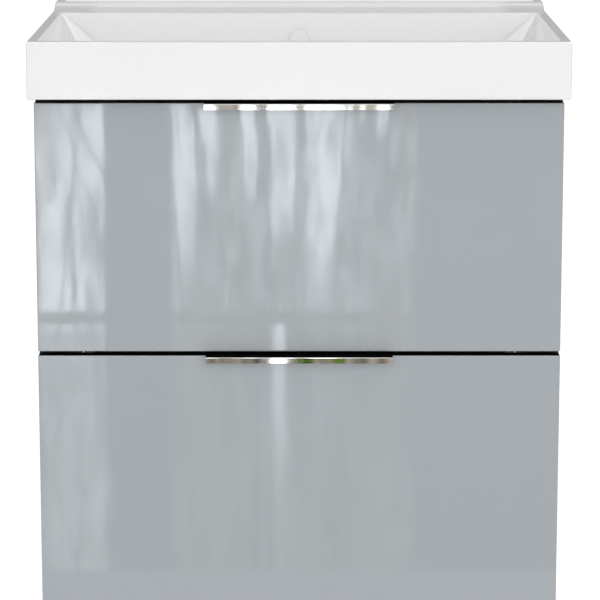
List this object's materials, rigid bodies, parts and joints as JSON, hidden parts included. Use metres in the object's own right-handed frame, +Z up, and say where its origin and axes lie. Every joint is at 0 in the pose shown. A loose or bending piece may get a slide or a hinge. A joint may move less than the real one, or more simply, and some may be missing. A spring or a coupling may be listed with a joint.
{
  "type": "bathroom vanity cabinet",
  "caption": "Wall-hung vanity: wide rectangular basin with a raised tap ledge over full-extension drawers with flat gloss fronts and chrome edge pulls.",
  "frame": {"origin": "midway between the two wall-bolt holes of the top rear rail, on the wall plane", "axes": "+X to the right as seen from the room, +Y towards the wall, +Z up"},
  "size_m": [0.61, 0.49, 0.664],
  "materials": {
    "carcass_board": "melamine-faced chipboard, dark grey, fine satin grain",
    "beech": "bare beech",
    "cam_metal": "zinc die-cast, satin",
    "zinc_steel": "bright zinc plate",
    "cage_plastic": "moulded acetal cage with steel balls",
    "clear_rubber": "translucent soft rubber",
    "silicone": "cured white silicone",
    "basin_cast": "white high-gloss gel coat over cast mineral composite",
    "white_plastic": "moulded white polypropylene",
    "grey_plastic": "moulded grey polyethylene",
    "chrome": "polished chrome plate",
    "grey_gloss_lacquer": "high-gloss grey lacquer on fibreboard",
    "box_board": "foil-wrapped grey fibreboard"
  },
  "bodies": {
    "cabinet": {"basin": "basin_cast", "basin_seal": "silicone", "bottom_panel": "carcass_board", "bracket_screws": "zinc_steel", "bumpers": "clear_rubber", "cam_bolts": "cam_metal", "cam_locks": "cam_metal", "carcass_dowels": "beech", "carcass_slide_screws": "zinc_steel", "lower_rear_rail": "carcass_board", "lower_slide_outers": "zinc_steel", "outlet_pipe": "white_plastic", "overflow_cover": "white_plastic", "overflow_elbow": "grey_plastic", "overflow_hose": "grey_plastic", "side_panel_left": "carcass_board", "side_panel_right": "carcass_board", "top_front_rail": "carcass_board", "top_rear_rail": "carcass_board", "trap_cup": "white_plastic", "trap_lid": "white_plastic", "trap_nuts": "white_plastic", "trap_pipe": "white_plastic", "upper_slide_outers": "zinc_steel", "wall_bracket_left": "zinc_steel", "wall_bracket_right": "zinc_steel", "waste_body": "chrome", "waste_gasket": "clear_rubber", "waste_nut": "white_plastic"},
    "waste_plug": {"waste_plug": "chrome"},
    "upper_drawer": {"upper_drawer_front": "grey_gloss_lacquer", "upper_handle": "chrome", "upper_handle_screws": "zinc_steel", "upper_box_side_left": "box_board", "upper_box_side_right": "box_board", "upper_box_front": "box_board", "upper_box_back": "box_board", "upper_box_bottom": "box_board", "upper_front_screws": "zinc_steel", "upper_slide_screws": "zinc_steel", "upper_slide_inner_left": "zinc_steel", "upper_slide_inner_right": "zinc_steel"},
    "upper_runners": {"upper_slide_middles": "zinc_steel"},
    "upper_outer_balls": {"upper_outer_cages": "cage_plastic"},
    "upper_inner_balls": {"upper_inner_cages": "cage_plastic"},
    "lower_drawer": {"lower_drawer_front": "grey_gloss_lacquer", "lower_handle": "chrome", "lower_handle_screws": "zinc_steel", "lower_box_side_left": "box_board", "lower_box_side_right": "box_board", "lower_box_front": "box_board", "lower_box_back": "box_board", "lower_box_bottom": "box_board", "lower_front_screws": "zinc_steel", "lower_slide_screws": "zinc_steel", "lower_slide_inner_left": "zinc_steel", "lower_slide_inner_right": "zinc_steel"},
    "lower_runners": {"lower_slide_middles": "zinc_steel"},
    "lower_outer_balls": {"lower_outer_cages": "cage_plastic"},
    "lower_inner_balls": {"lower_inner_cages": "cage_plastic"}
  },
  "joints": [
    {"name": "upper_drawer_slide", "type": "slide", "parent": "cabinet", "child": "upper_drawer", "axis": [0, -1, 0], "range_m": [0, 0.34]},
    {"name": "upper_runners_slide", "type": "slide", "parent": "cabinet", "child": "upper_runners", "axis": [0, -1, 0], "range_m": [0, 0.17]},
    {"name": "upper_outer_balls_slide", "type": "slide", "parent": "cabinet", "child": "upper_outer_balls", "axis": [0, -1, 0], "range_m": [0, 0.085]},
    {"name": "upper_inner_balls_slide", "type": "slide", "parent": "cabinet", "child": "upper_inner_balls", "axis": [0, -1, 0], "range_m": [0, 0.255]},
    {"name": "lower_drawer_slide", "type": "slide", "parent": "cabinet", "child": "lower_drawer", "axis": [0, -1, 0], "range_m": [0, 0.34]},
    {"name": "lower_runners_slide", "type": "slide", "parent": "cabinet", "child": "lower_runners", "axis": [0, -1, 0], "range_m": [0, 0.17]},
    {"name": "lower_outer_balls_slide", "type": "slide", "parent": "cabinet", "child": "lower_outer_balls", "axis": [0, -1, 0], "range_m": [0, 0.085]},
    {"name": "lower_inner_balls_slide", "type": "slide", "parent": "cabinet", "child": "lower_inner_balls", "axis": [0, -1, 0], "range_m": [0, 0.255]},
    {"name": "waste_plug_lift", "type": "slide", "parent": "cabinet", "child": "waste_plug", "axis": [0, 0, 1], "range_m": [0, 0.006]}
  ],
  "couplings": [
    {"joint": "upper_runners_slide", "follows": "upper_drawer_slide", "ratio": 0.5},
    {"joint": "upper_outer_balls_slide", "follows": "upper_drawer_slide", "ratio": 0.25},
    {"joint": "upper_inner_balls_slide", "follows": "upper_drawer_slide", "ratio": 0.75},
    {"joint": "lower_runners_slide", "follows": "lower_drawer_slide", "ratio": 0.5},
    {"joint": "lower_outer_balls_slide", "follows": "lower_drawer_slide", "ratio": 0.25},
    {"joint": "lower_inner_balls_slide", "follows": "lower_drawer_slide", "ratio": 0.75}
  ]
}
